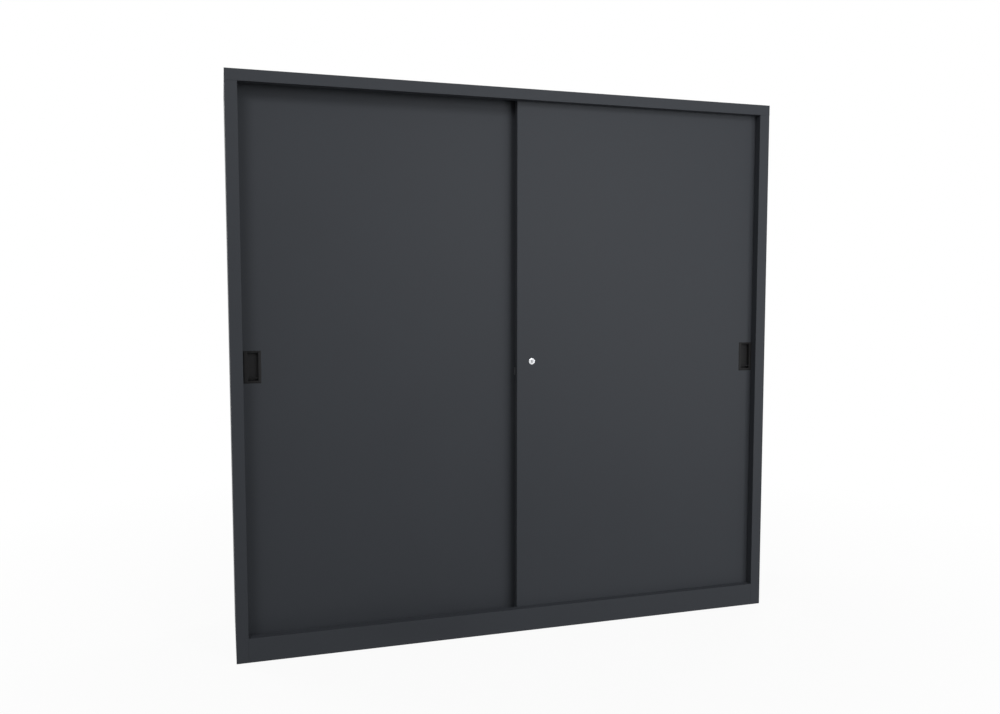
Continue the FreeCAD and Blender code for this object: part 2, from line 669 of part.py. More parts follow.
def door_panel(label, door_inset, door_start, pull_x, lock):
    """A door: a flat skin with four folded edges, the upright ones with a lip turned in."""
    body = new_body(label)
    left = f"({LEFT} + {door_start})"
    right = f"({left} + dim.door_width)"
    face = inset(door_inset)
    rear = f"({face} + dim.door_thick)"
    plan = [
        (left, face),
        (right, face),
        (right, rear),
        (f"{right} - dim.door_lip", rear),
        (f"{right} - dim.door_lip", f"{rear} - dim.sheet"),
        (f"{right} - dim.sheet", f"{rear} - dim.sheet"),
        (f"{right} - dim.sheet", f"{face} + dim.sheet"),
        (f"{left} + dim.sheet", f"{face} + dim.sheet"),
        (f"{left} + dim.sheet", f"{rear} - dim.sheet"),
        (f"{left} + dim.door_lip", f"{rear} - dim.sheet"),
        (f"{left} + dim.door_lip", rear),
        (left, rear),
    ]
    pad(body, "skin", outline(body, "plan", "XY_Plane", [plan], "dim.door_foot"),
        "dim.door_top - dim.door_foot")
    inner = rectangle(f"{left} + dim.sheet / 2", f"{right} - dim.sheet / 2", f"{face} + dim.sheet / 2", rear)
    folded = None
    for name, level in (("top_fold", "dim.door_top - dim.sheet"), ("bottom_fold", "dim.door_foot")):
        folded = pad(body, name, outline(body, f"{name}_outline", "XY_Plane", [inner], level), "dim.sheet")

    def face_edge(start, end):
        return near(start.y, face) and near(end.y, face)

    round_edges(body, "bends", folded, "dim.bend", face_edge)
    slots = []
    for centre in (f"{left} + dim.wheel_inset", f"{right} - dim.wheel_inset"):
        middle = f"{face} + dim.wheel_plane"
        half = "(dim.bracket_wide / 2 - dim.sheet)"
        slots.append(rectangle(f"{centre} - dim.wheel_slot / 2", f"{centre} + dim.wheel_slot / 2",
                               f"{middle} - {half}", f"{middle} + {half}"))
    pocket(body, "wheel_slots", outline(body, "slots", "XY_Plane", slots, "dim.door_foot"), "dim.sheet")
    half_wide = "(dim.cup_wide / 2 + dim.cup_gap)"
    half_tall = "(dim.cup_tall / 2 + dim.cup_gap)"
    opening = rectangle(f"{pull_x} - {half_wide}", f"{pull_x} + {half_wide}",
                        f"dim.pull_level - {half_tall}", f"dim.pull_level + {half_tall}")
    pocket(body, "pull_opening", outline(body, "opening", "XZ_Plane", [opening], face), "dim.sheet")
    if lock:
        hole = circle(body, "lock_hole", "XZ_Plane", f"{left} + dim.lock_inset", "dim.lock_level",
                      "dim.lock_barrel", face)
        pocket(body, "lock_opening", hole, "dim.sheet")


def door_rib(label, door_inset, door_start):
    """A hat section welded upright behind the middle of a door's skin."""
    body = new_body(label)
    middle = f"({LEFT} + {door_start} + dim.door_width / 2)"
    near_skin = inset(f"{door_inset} + dim.sheet")
    crest = f"({near_skin} + dim.rib_deep)"
    half = "dim.rib_wide / 2"
    inner = "dim.rib_wide / 4"
    plan = []
    for side, steps in ((-1, 1), (1, -1)):
        edge = [
            (f"{middle} + {side} * {half}", near_skin),
            (f"{middle} + {side} * {inner}", near_skin),
            (f"{middle} + {side} * {inner}", f"{crest} - dim.sheet"),
        ]
        plan.extend(edge[::steps])
    for side, steps in ((1, 1), (-1, -1)):
        edge = [
            (f"{middle} + {side} * {half}", f"{near_skin} + dim.sheet"),
            (f"{middle} + {side} * ({inner} + dim.sheet)", f"{near_skin} + dim.sheet"),
            (f"{middle} + {side} * ({inner} + dim.sheet)", crest),
        ]
        plan.extend(edge[::steps])
    start = "dim.door_foot + dim.sheet"
    pad(body, "hat", outline(body, "plan", "XY_Plane", [plan], start),
        "dim.door_top - dim.door_foot - 2 * dim.sheet")


def finger_pull(label, door_inset, centre):
    """A moulded pull let into the door: a flat rim round an open cup with a finger rest at its foot."""
    body = new_body(label)
    face = inset(door_inset)

    def about(wide, tall):
        return rectangle(f"{centre} - {wide} / 2", f"{centre} + {wide} / 2",
                         f"dim.pull_level - {tall} / 2", f"dim.pull_level + {tall} / 2")

    rim_level = f"{face} - dim.pull_proud"
    rim_outline = outline(body, "rim_outline", "XZ_Plane", [about("dim.pull_wide", "dim.pull_tall")],
                          rim_level)
    rim = pad(body, "rim", rim_outline, "dim.pull_proud")

    def rim_corner(start, end):
        return runs_along("y", start, end)

    corners = round_edges(body, "rim_corners", rim, "dim.pull_corner", rim_corner)

    def rim_edge(start, end):
        return near(start.y, rim_level) and near(end.y, rim_level)

    dress_edges(body, "Chamfer", "bevelled_rim", corners, "dim.pull_proud / 2", rim_edge)
    cup_outline = outline(body, "cup_outline", "XZ_Plane", [about("dim.cup_wide", "dim.cup_tall")], face)
    pad(body, "cup", cup_outline, "dim.cup_deep")
    hollow = about("(dim.cup_wide - 2 * dim.cup_wall)", "(dim.cup_tall - 2 * dim.cup_wall)")
    pocket(body, "hollow", outline(body, "hollow_outline", "XZ_Plane", [hollow], rim_level),
           "dim.pull_proud + dim.cup_deep - dim.cup_wall")
    foot = "(dim.pull_level - dim.cup_tall / 2 + dim.cup_wall)"
    half = "(dim.cup_wide / 2 - dim.cup_wall)"
    rest = rectangle(f"{centre} - {half}", f"{centre} + {half}", f"{foot} + dim.rest_level",
                     f"{foot} + dim.rest_level + dim.rest_thick")
    rest_start = f"{face} + dim.cup_deep - dim.cup_wall - dim.rest_deep"
    pad(body, "finger_rest", outline(body, "rest_outline", "XZ_Plane", [rest], rest_start), "dim.rest_deep")


def wheel_brackets(label, door_inset, centres):
    """Steel stirrups over a door's two wheels, each in one piece with the riveted pin its wheel turns on."""
    body = new_body(label, several=True)
    middle = f"({door_inset} + dim.wheel_plane)"
    low = "dim.door_foot + dim.sheet"
    high = f"({low} + dim.bracket_tall)"
    half = "dim.bracket_wide / 2"
    cheek = inset(f"{middle} - {half} - dim.bracket_sheet")
    section = [
        (cheek, low),
        (inset(f"{middle} - {half}"), low),
        (inset(f"{middle} - {half}"), f"{high} - dim.bracket_sheet"),
        (inset(f"{middle} + {half}"), f"{high} - dim.bracket_sheet"),
        (inset(f"{middle} + {half}"), low),
        (inset(f"{middle} + {half} + dim.bracket_sheet"), low),
        (inset(f"{middle} + {half} + dim.bracket_sheet"), high),
        (cheek, high),
    ]
    for number, centre in enumerate(centres, 1):
        sketch = outline(body, f"section_{number}", "YZ_Plane", [section], f"{centre} - dim.bracket_long / 2")
        pad(body, f"stirrup_{number}", sketch, "dim.bracket_long")
        pin = circle(body, f"pin_outline_{number}", "XZ_Plane", centre, WHEEL_LEVEL, "dim.axle", cheek)
        pad(body, f"pin_{number}", pin, "dim.bracket_wide + 2 * dim.bracket_sheet")


def wheel(label, door_inset, centre):
    """A grooved nylon wheel: two rims, and between them a groove that straddles the rail."""
    body = new_body(label)
    middle = f"({door_inset} + dim.wheel_plane)"
    profile = []
    for side, steps in ((-1, 1), (1, -1)):
        outer = inset(f"{middle} + {side} * dim.wheel_wide / 2")
        inner = inset(f"{middle} + {side} * dim.groove / 2")
        edge = [
            ("dim.axle + dim.running_gap", outer),
            ("dim.wheel_rim", outer),
            ("dim.wheel_rim", inner),
            ("dim.wheel_run", inner),
        ]
        profile.extend(edge[::steps])
    turned(body, "tread", profile, centre, WHEEL_LEVEL)


def top_guides(label, door_inset, centres):
    """Nylon blocks on a door's top fold, with bevelled ends, that slide in the channel above."""
    body = new_body(label, several=True)
    middle = f"({door_inset} + dim.wheel_plane)"
    plans = [
        rectangle(f"{centre} - dim.guide_long / 2", f"{centre} + dim.guide_long / 2",
                  inset(f"{middle} - dim.guide_wide / 2"), inset(f"{middle} + dim.guide_wide / 2"))
        for centre in centres
    ]
    blocks = pad(body, "blocks", outline(body, "plan", "XY_Plane", plans, "dim.door_top"),
                 "dim.guide_top - dim.door_top")

    def end_corner(start, end):
        return runs_along("z", start, end)

    dress_edges(body, "Chamfer", "bevelled_ends", blocks, "dim.guide_bevel", end_corner)


# The lock on the front door, and the strike on the rear door that it holds.


def lock_housing():
    """The fixed part of the cylinder lock: a round face on a barrel, bored for the plug."""
    body = new_body("lock_housing")
    face = inset("dim.front_inset - dim.lock_face")
    skin = inset("dim.front_inset")
    bore = "(dim.plug + dim.running_gap)"
    profile = [
        (bore, face),
        ("dim.lock_rim", face),
        ("dim.lock_rim", skin),
        ("dim.lock_barrel", skin),
        ("dim.lock_barrel", inset("dim.lock_end")),
        (bore, inset("dim.lock_end")),
    ]
    turned(body, "barrel", profile, LOCK_X, "dim.lock_level")


def on_lock_axis(kind, name, level, length):
    """A Part prism or cylinder about the lock's axis, from level towards the back."""
    solid = doc.addObject(f"Part::{kind}", name)
    solid.Placement.Rotation = FreeCAD.Rotation(FreeCAD.Vector(1, 0, 0), -90)
    solid.setExpression("Height", length)
    solid.setExpression("Placement.Base.x", LOCK_X)
    solid.setExpression("Placement.Base.y", level)
    solid.setExpression("Placement.Base.z", "dim.lock_level")
    return solid


def hexagon(name, flats, level, length):
    """A six-sided prism about the lock's axis, by its width across the flats."""
    prism = on_lock_axis("Prism", name, level, length)
    prism.Polygon = 6
    prism.setExpression("Circumradius", f"{flats} / sqrt(3)")
    return prism


def lock_nut():
    """The six-sided nut that clamps the lock to the door from inside."""
    skin = inset("dim.front_inset + dim.sheet")
    nut = doc.addObject("Part::Cut", "lock_nut")
    nut.Base = hexagon("nut_blank", "dim.nut_flats", skin, "dim.nut_thick")
    nut.Tool = on_lock_axis("Cylinder", "nut_hole", skin, "dim.nut_thick")
    nut.Tool.setExpression("Radius", "dim.lock_barrel")
    nut.Label = "lock_nut"
    parts.append(nut)


def lock_plug():
    """The turning plug, with an upright keyway in its face and a square shank for the cam."""
    body = new_body("lock_plug")
    face = inset("dim.front_inset - dim.lock_face - dim.plug_proud")
    end = inset("dim.cam_start")
    profile = [
        ("0", face),
        ("dim.plug", face),
        ("dim.plug", end),
        ("0", end),
    ]
    turned(body, "cylinder", profile, LOCK_X, "dim.lock_level")
    keyway = rectangle(f"{LOCK_X} - dim.key_wide / 2", f"{LOCK_X} + dim.key_wide / 2",
                       "dim.lock_level - dim.key_tall / 2", "dim.lock_level + dim.key_tall / 2")
    pocket(body, "keyway", outline(body, "keyway_outline", "XZ_Plane", [keyway], face), "dim.key_deep")
    half = "dim.shank / 2"
    shank = rectangle(f"{LOCK_X} - {half}", f"{LOCK_X} + {half}",
                      f"dim.lock_level - {half}", f"dim.lock_level + {half}")
    pad(body, "shank", outline(body, "shank_outline", "XZ_Plane", [shank], end), "dim.cam_thick")


def lock_cam():
    """The flat arm on the plug's shank: upright when unlocked, hanging beside the strike when locked."""
    body = new_body("lock_cam")
    half = "dim.cam_wide / 2"
    arm = rectangle(f"{LOCK_X} - {half}", f"{LOCK_X} + {half}", f"dim.lock_level - {half}",
                    "dim.lock_level + dim.cam_reach")
    flat = pad(body, "arm", outline(body, "arm_outline", "XZ_Plane", [arm], inset("dim.cam_start")),
               "dim.cam_thick")

    def end_corner(start, end):
        return runs_along("y", start, end)

    dress_edges(body, "Chamfer", "bevelled_ends", flat, "dim.cam_corner", end_corner)
    shank = "dim.shank / 2"
    hole = rectangle(f"{LOCK_X} - {shank}", f"{LOCK_X} + {shank}",
                     f"dim.lock_level - {shank}", f"dim.lock_level + {shank}")
    pocket(body, "square_hole", outline(body, "hole", "XZ_Plane", [hole], inset("dim.cam_start")),
           "dim.cam_thick")


def cam_screw():
    """The six-sided screw head that holds the cam on the plug."""
    seat = inset("dim.cam_start + dim.cam_thick")
    parts.append(hexagon("cam_screw", "dim.screw_flats", seat, "dim.screw_head"))


def lock_strike():
    """An angle on the rear door's edge, whose nose the hanging cam blocks, so that both doors are held."""
    body = new_body("lock_strike")
    start = f"({LEFT} + dim.rear_start + dim.door_width - dim.strike_start)"
    end = f"({LOCK_X} - dim.cam_wide / 2 - dim.strike_gap)"
    face = inset("dim.rear_inset")
    nose = inset("dim.strike_front")
    plan = [
        (start, face),
        (start, f"{face} - dim.strike_sheet"),
        (f"{end} - dim.strike_sheet", f"{face} - dim.strike_sheet"),
        (f"{end} - dim.strike_sheet", nose),
        (end, nose),
        (end, face),
    ]
    pad(body, "angle", outline(body, "plan", "XY_Plane", [plan], "dim.strike_low"),
        "dim.strike_high - dim.strike_low")


# The assembly.

side_panel("side_panel_left", -1)
side_panel("side_panel_right", 1)
top_panel()
plinth_front()
plinth_rear()
floor_panel()
track_step()
centre_bearer()
back_panel("back_panel_left", -1)
back_panel("back_panel_right", 1)
wall_skin("middle_wall_left", -1)
wall_skin("middle_wall_right", 1)
bottom_track()
top_track()

rear_limit = f"{LEFT} + dim.rear_start + dim.door_width + dim.rear_travel + dim.stop_gap"
front_rest = f"{LEFT} + dim.front_start + dim.door_width + dim.stop_gap"
inner_left = f"({LEFT} + dim.sheet)"
rubber_stop("stop_rear_left", "dim.rear_inset", inner_left, "dim.rear_start - dim.sheet - dim.stop_gap")
rubber_stop("stop_rear_right", "dim.rear_inset", rear_limit, "dim.stop_long")
rubber_stop("stop_front_left", "dim.front_inset", inner_left,
            "dim.front_start - dim.front_travel - dim.sheet - dim.stop_gap")
rubber_stop("stop_front_right", "dim.front_inset", front_rest, f"{RIGHT} - dim.sheet - ({front_rest})")

for place, (wall_face, direction) in WALL_FACES.items():
    uprights(f"uprights_{place}", wall_face, direction)
for count in range(int(dim.get("shelf_count"))):
    shelf(f"shelf_left_{count + 1}", WALL_FACES["left_side"][0], count)
    shelf(f"shelf_right_{count + 1}", WALL_FACES["wall_right_face"][0], count)
shelf_clips()

FRONT_LEFT = f"({LEFT} + dim.front_start)"
REAR_LEFT = f"({LEFT} + dim.rear_start)"
DOORS = {
    "front": ("dim.front_inset", "dim.front_start", FRONT_LEFT,
              f"({FRONT_LEFT} + dim.door_width - dim.pull_inset - dim.pull_wide / 2)"),
    "rear": ("dim.rear_inset", "dim.rear_start", REAR_LEFT,
             f"({REAR_LEFT} + dim.pull_inset + dim.pull_wide / 2)"),
}
for name, (door_plane, door_start, door_left, pull_centre) in DOORS.items():
    wheels = [f"({door_left} + dim.wheel_inset)", f"({door_left} + dim.door_width - dim.wheel_inset)"]
    guides = [f"({door_left} + dim.guide_inset)", f"({door_left} + dim.door_width - dim.guide_inset)"]
    door_panel(f"{name}_door_panel", door_plane, door_start, pull_centre, lock=name == "front")
    door_rib(f"{name}_door_rib", door_plane, door_start)
    finger_pull(f"{name}_finger_pull", door_plane, pull_centre)
    top_guides(f"{name}_top_guides", door_plane, guides)
    wheel_brackets(f"{name}_wheel_brackets", door_plane, wheels)
    for end, wheel_x in zip(("left", "right"), wheels):
        wheel(f"{name}_wheel_{end}", door_plane, wheel_x)

lock_housing()
lock_nut()
lock_plug()
lock_cam()
cam_screw()
lock_strike()

doc.recompute()
for item in doc.Objects:
    if {"Invalid", "Error"} & set(item.State):
        raise RuntimeError(f"{item.Name} of {item.Label}: {item.State}")
    if item.TypeId == "PartDesign::Pocket" and item.Shape.Volume > item.BaseFeature.Shape.Volume - TOLERANCE:
        raise RuntimeError(f"{item.Name} cuts nothing")
for part in parts:
    if part.Shape.isNull() or not part.Shape.isValid() or part.Shape.Volume <= 0:
        raise RuntimeError(f"{part.Label} has no valid shape")
os.makedirs("parts", exist_ok=True)
for part in parts:
    part.Shape.exportStep(f"parts/{part.Label}.step")
print(len(parts), "parts written")
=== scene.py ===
"""Finishes, moulded pieces and studio for a steel cabinet with sliding doors.

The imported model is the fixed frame, in metres: +X to the right, +Y to the back, +Z up. The file is laid out
as an add-on and run as a script. It gives the folded steel its powder coat, makes the moulded finger pulls,
the turned lock and the turned wheels, and sets up a plain pale studio.
"""

import json
import math

import bpy
import numpy as np
from bpy.props import FloatProperty, FloatVectorProperty, PointerProperty
from bpy.types import Operator, Panel, PropertyGroup
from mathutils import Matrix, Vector


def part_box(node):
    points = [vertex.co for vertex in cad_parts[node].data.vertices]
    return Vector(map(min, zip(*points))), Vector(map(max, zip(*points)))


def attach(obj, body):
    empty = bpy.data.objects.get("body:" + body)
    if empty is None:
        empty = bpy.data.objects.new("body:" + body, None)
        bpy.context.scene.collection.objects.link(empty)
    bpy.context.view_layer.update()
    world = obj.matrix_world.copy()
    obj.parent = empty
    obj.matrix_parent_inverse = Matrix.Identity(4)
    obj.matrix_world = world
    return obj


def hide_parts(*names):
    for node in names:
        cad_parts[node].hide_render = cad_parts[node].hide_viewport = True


bl_info = {
    "name": "Sliding door cabinet finishes",
    "version": (1, 0, 0),
    "blender": (4, 5, 0),
    "location": "3D View > Sidebar > Cabinet",
    "description": "Powder coat, finger pulls, lock, wheels and studio for a cabinet with sliding doors",
    "category": "Object",
}

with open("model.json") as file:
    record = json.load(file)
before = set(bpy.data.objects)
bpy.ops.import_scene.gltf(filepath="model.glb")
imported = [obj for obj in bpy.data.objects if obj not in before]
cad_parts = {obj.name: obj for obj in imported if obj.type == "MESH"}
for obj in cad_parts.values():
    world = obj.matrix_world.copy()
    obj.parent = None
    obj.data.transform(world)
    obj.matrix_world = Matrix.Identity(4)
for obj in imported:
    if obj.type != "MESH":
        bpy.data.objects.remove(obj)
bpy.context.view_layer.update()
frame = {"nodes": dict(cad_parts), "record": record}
NODES = frame["nodes"]
BODY_OF = {node: body for body, members in frame["record"]["behaviour"]["bodies"].items() for node in members}
SLOT_OF = {part["node"]: part["material_slot"] for part in frame["record"]["subparts"]}
WHEELS = ("front_wheel_left", "front_wheel_right", "rear_wheel_left", "rear_wheel_right")
MM = 0.001
CREASE = math.radians(35)


# Colours and material nodes.


def linear(code):
    """An sRGB hex code as linear red, green and blue."""
    shares = [int(code[place : place + 2], 16) / 255 for place in (1, 3, 5)]
    return [share / 12.92 if share <= 0.04045 else ((share + 0.055) / 1.055) ** 2.4 for share in shares]


def add_node(tree, kind, settings=None, links=None):
    """Adds a node, sets its properties, and fills its inputs, by name or place, from sockets or values."""
    node = tree.nodes.new(kind)
    for name, value in (settings or {}).items():
        setattr(node, name, value)
    for name, value in (links or {}).items():
        socket = node.inputs[name]
        if isinstance(value, bpy.types.NodeSocket):
            tree.links.new(value, socket)
        else:
            socket.default_value = value
    return node


def start_material(name):
    """An empty material, its tree and its Object coordinates."""
    material = bpy.data.materials.new(name)
    material.use_nodes = True
    tree = material.node_tree
    tree.nodes.clear()
    return material, tree, add_node(tree, "ShaderNodeTexCoord").outputs["Object"]


def finish_material(material, shader):
    """Gives a material its Principled shader, with these values and links."""
    tree = material.node_tree
    surface = add_node(tree, "ShaderNodeBsdfPrincipled", None, shader)
    add_node(tree, "ShaderNodeOutputMaterial", None, {"Surface": surface.outputs["BSDF"]})
    return material


def shade(colour, factor):
    """A linear colour made darker or lighter, with its alpha."""
    return (*(min(channel * factor, 1) for channel in colour), 1)


def vary(tree, pattern, colours, roughness, low=0.3, high=0.7):
    """Base colour and roughness that both follow a pattern, from its low to its high value."""
    span = {"Value": pattern, "From Min": low, "From Max": high}
    share = add_node(tree, "ShaderNodeMapRange", None, span)
    colour = add_node(tree, "ShaderNodeMix", {"data_type": "RGBA"},
                      {0: share.outputs["Result"], 6: colours[0], 7: colours[1]})
    rough = add_node(tree, "ShaderNodeMapRange", None,
                     {**span, "To Min": roughness[0], "To Max": roughness[1]})
    return {"Base Color": colour.outputs[2], "Roughness": rough.outputs["Result"]}


def powder_coat(look):
    """Polyester powder, sprayed dry and baked: a low satin, even, with a shallow orange peel.

    It rounds every edge of the sheets, and its colour is painted darker along edges and joints: painted shade
    for the seams and rounded edges.
    The film's tone drifts a little over a third of a metre, as the spray gun passed. The peel's ripples are
    2 mm apart on the real coat, and 4 mm here so that they can show.
    """
    material, tree, place = start_material("satin_powder_coat")
    steel = list(look.coat_colour)
    film = add_node(tree, "ShaderNodeTexNoise", None,
                    {"Vector": place, "Scale": 1 / (350 * MM), "Detail": 3.0})
    peel = add_node(tree, "ShaderNodeTexNoise", None,
                    {"Vector": place, "Scale": 1 / look.peel, "Detail": 1.0})
    varied = vary(tree, film.outputs["Fac"], (shade(steel, 0.97), shade(steel, 1.03)),
                  roughness=(0.53, 0.57))
    bend = add_node(tree, "ShaderNodeBevel", {"samples": 4}, {"Radius": look.edge})
    plain = add_node(tree, "ShaderNodeNewGeometry")
    facing = add_node(tree, "ShaderNodeVectorMath", {"operation": "DOT_PRODUCT"},
                      {0: bend.outputs["Normal"], 1: plain.outputs["True Normal"]})
    # Painted shade: the colour darkens where the bevelled normal turns away from the true one, along edges
    # and joints.
    edge = add_node(tree, "ShaderNodeMapRange", None,
                    {"Value": facing.outputs["Value"], "From Min": 1.0, "From Max": 0.7,
                     "To Min": 0.0, "To Max": look.painted_edge_shade})
    coat = add_node(tree, "ShaderNodeMix", {"data_type": "RGBA"},
                    {0: edge.outputs["Result"], 6: varied["Base Color"], 7: shade(steel, 0.2)})
    ripple = add_node(tree, "ShaderNodeBump", None,
                      {"Height": peel.outputs["Fac"], "Distance": 0.02 * MM,
                       "Normal": bend.outputs["Normal"]})
    return finish_material(material, {
        **varied,
        "Base Color": coat.outputs[2],
        "Specular IOR Level": 0.15,
        "Normal": ripple.outputs["Normal"],
    })


def moulded_black(look):
    """Injection-moulded ABS with a deep spark-eroded grain: near black, dead matt, a little warm.

    The grain is 0.3 mm on the real moulding, and 0.8 mm here so that it can show.
    """
    material, tree, place = start_material("moulded_black_abs")
    black = list(look.pull_colour)
    grain = add_node(tree, "ShaderNodeTexNoise", None,
                     {"Vector": place, "Scale": 1 / (0.8 * MM), "Detail": 2.0, "Roughness": 0.6})
    relief = add_node(tree, "ShaderNodeBump", None, {"Height": grain.outputs["Fac"], "Distance": 0.03 * MM})
    return finish_material(material, {
        **vary(tree, grain.outputs["Fac"], (shade(black, 0.88), shade(black, 1.12)),
               roughness=(0.5, 0.62)),
        "IOR": 1.54,
        "Specular IOR Level": 0.12,
        "Normal": relief.outputs["Normal"],
    })


def bright_chrome(look):
    """Chrome plate over polished zinc casting: mirror bright, with the faint waves and haze of buffing."""
    material, tree, place = start_material("polished_chrome_plate")
    haze = add_node(tree, "ShaderNodeTexNoise", None,
                    {"Vector": place, "Scale": 1 / (3 * MM), "Detail": 3.0})
    waves = add_node(tree, "ShaderNodeTexNoise", None,
                     {"Vector": place, "Scale": 1 / (4 * MM), "Detail": 1.0})
    relief = add_node(tree, "ShaderNodeBump", None, {"Height": waves.outputs["Fac"], "Distance": 0.01 * MM})
    chrome = list(look.chrome_colour)
    return finish_material(material, {
        **vary(tree, haze.outputs["Fac"], (shade(chrome, 0.97), shade(chrome, 1.02)),
               roughness=(0.12, 0.22)),
        "Metallic": 1.0,
        "Normal": relief.outputs["Normal"],
    })


def zinc_plate(look):
    """Bright zinc plating on pressed steel: cool grey, cloudy, with patches a few millimetres wide."""
    material, tree, place = start_material("zinc_plated_steel")
    zinc = list(look.zinc_colour)
    patches = add_node(tree, "ShaderNodeTexVoronoi", {"feature": "SMOOTH_F1"},
                       {"Vector": place, "Scale": 1 / (5 * MM), "Smoothness": 0.6})
    pits = add_node(tree, "ShaderNodeTexNoise", None, {"Vector": place, "Scale": 1 / (1.2 * MM)})
    relief = add_node(tree, "ShaderNodeBump", None, {"Height": pits.outputs["Fac"], "Distance": 0.01 * MM})
    return finish_material(material, {
        **vary(tree, patches.outputs["Distance"], (shade(zinc, 0.86), shade(zinc, 1.06)),
               roughness=(0.3, 0.42), low=0.1),
        "Metallic": 1.0,
        "Normal": relief.outputs["Normal"],
    })


def extruded_aluminium(look):
    """Extruded aluminium as it leaves the die: pale satin metal with fine lines along its length.

    The die lines are 0.2 mm apart on real stock, and 0.6 mm here so that they can show.
    """
    material, tree, place = start_material("extruded_aluminium")
    metal = list(look.aluminium_colour)
    along = add_node(tree, "ShaderNodeMapping", None, {"Vector": place, "Scale": (0.004, 1, 1)})
    lines = add_node(tree, "ShaderNodeTexNoise", None,
                     {"Vector": along.outputs["Vector"], "Scale": 1 / (0.6 * MM), "Detail": 2.0})
    relief = add_node(tree, "ShaderNodeBump", None, {"Height": lines.outputs["Fac"], "Distance": 0.01 * MM})
    return finish_material(material, {
        **vary(tree, lines.outputs["Fac"], (shade(metal, 0.9), shade(metal, 1.05)), roughness=(0.3, 0.42)),
        "Metallic": 1.0,
        "Normal": relief.outputs["Normal"],
    })


def moulded_nylon(look):
    """Moulded nylon 6, unpigmented: milky white, slightly waxy, with soft flow marks."""
    material, tree, place = start_material("moulded_nylon")
    milk = list(look.nylon_colour)
    flow = add_node(tree, "ShaderNodeTexNoise", None,
                    {"Vector": place, "Scale": 1 / (6 * MM), "Detail": 3.0})
    grain = add_node(tree, "ShaderNodeTexNoise", None, {"Vector": place, "Scale": 1 / (0.7 * MM)})
    relief = add_node(tree, "ShaderNodeBump", None, {"Height": grain.outputs["Fac"], "Distance": 0.01 * MM})
    return finish_material(material, {
        **vary(tree, flow.outputs["Fac"], (shade(milk, 0.94), shade(milk, 1.03)), roughness=(0.36, 0.48)),
        "IOR": 1.53,
        "Subsurface Weight": 0.15,
        "Subsurface Radius": (0.002, 0.0018, 0.0014),
        "Subsurface Scale": 1.0,
        "Normal": relief.outputs["Normal"],
    })


def moulded_rubber(look):
    """Moulded EPDM rubber: black, dull, with a bloom of grey dust in its grain."""
    material, tree, place = start_material("moulded_rubber")
    rubber = list(look.rubber_colour)
    grain = add_node(tree, "ShaderNodeTexNoise", None,
                     {"Vector": place, "Scale": 1 / (1 * MM), "Detail": 3.0, "Roughness": 0.6})
    relief = add_node(tree, "ShaderNodeBump", None, {"Height": grain.outputs["Fac"], "Distance": 0.05 * MM})
    return finish_material(material, {
        **vary(tree, grain.outputs["Fac"], (shade(rubber, 0.8), shade(rubber, 1.35)), roughness=(0.8, 0.9)),
        "IOR": 1.52,
        "Normal": relief.outputs["Normal"],
    })


MAKERS = {
    "powder_coat": powder_coat,
    "black_plastic": moulded_black,
    "chrome": bright_chrome,
    "zinc_steel": zinc_plate,
    "aluminium": extruded_aluminium,
    "nylon": moulded_nylon,
    "rubber": moulded_rubber,
}
made = {}


def finish_of(slot):
    """The material of a slot of the record, made when it is first asked for."""
    if slot not in made:
        made[slot] = MAKERS[slot](bpy.context.scene.cabinet_look)
    return made[slot]


def coat(nodes):
    """Gives frame nodes the finish of their slot. Only their material slots change."""
    for name in nodes:
        mesh = NODES[name].data
        mesh.materials.clear()
        mesh.materials.append(finish_of(SLOT_OF[name]))


# Surfaces as arrays. A shell is its points and blocks of faces. A block is an array, one face a row.


def softened(rows, steps=5, closed=True):
    """An outline with each corner drawn as a quadratic curve. An open one keeps its two ends as they are.

    A row holds a corner P and, last, its rounding. With A and B that far from P towards its neighbours, the
    curve is (1 - t)^2 A + 2 t (1 - t) P + t^2 B, for t from 0 to 1.
    """
    rows = np.asarray(rows, float)
    corners, rounding = rows[:, :-1], rows[:, -1:]
    before = np.roll(corners, 1, axis=0) - corners
    after = np.roll(corners, -1, axis=0) - corners
    first = corners + rounding * before / np.linalg.norm(before, axis=1, keepdims=True)
    last = corners + rounding * after / np.linalg.norm(after, axis=1, keepdims=True)
    share = np.linspace(0, 1, steps)[None, :, None]
    curve = (1 - share) ** 2 * first[:, None] + 2 * share * (1 - share) * corners[:, None]
    curve = curve + share**2 * last[:, None]
    if closed:
        return curve.reshape(-1, corners.shape[1])
    return np.concatenate([corners[:1], curve[1:-1].reshape(-1, corners.shape[1]), corners[-1:]])


def quads(rings, around, closed):
    """Faces between neighbouring rings of points. A closed surface also joins its last ring to the first."""
    lower = np.arange(rings if closed else rings - 1)[:, None]
    upper = (lower + 1) % rings
    here = np.arange(around)[None, :]
    there = (here + 1) % around
    corners = (lower * around + here, lower * around + there, upper * around + there, upper * around + here)
    return np.stack(np.broadcast_arrays(*corners), axis=-1).reshape(-1, 4)


def shell(rings, closed):
    """A shell through rings of points, an array of (rings, points, 3). An open one gets two end caps."""
    count, around, _ = rings.shape
    blocks = [quads(count, around, closed)]
    if not closed:
        cap = np.arange(around)[None, :]
        blocks += [cap[:, ::-1], cap + (count - 1) * around]
    return rings.reshape(-1, 3), blocks


def lathe(outline, centre, segments):
    """A closed outline of (radius, y) points turned about the line along Y through centre.

    A point at turn t is (x + r cos t, y, z + r sin t).
    """
    turn = np.linspace(0, 2 * np.pi, segments, endpoint=False)
    radius = outline[:, 0][:, None]
    rings = np.stack([
        centre[0] + radius * np.cos(turn),
        np.broadcast_to(outline[:, 1][:, None], (len(outline), segments)),
        centre[2] + radius * np.sin(turn),
    ], axis=-1)
    return shell(rings, closed=True)


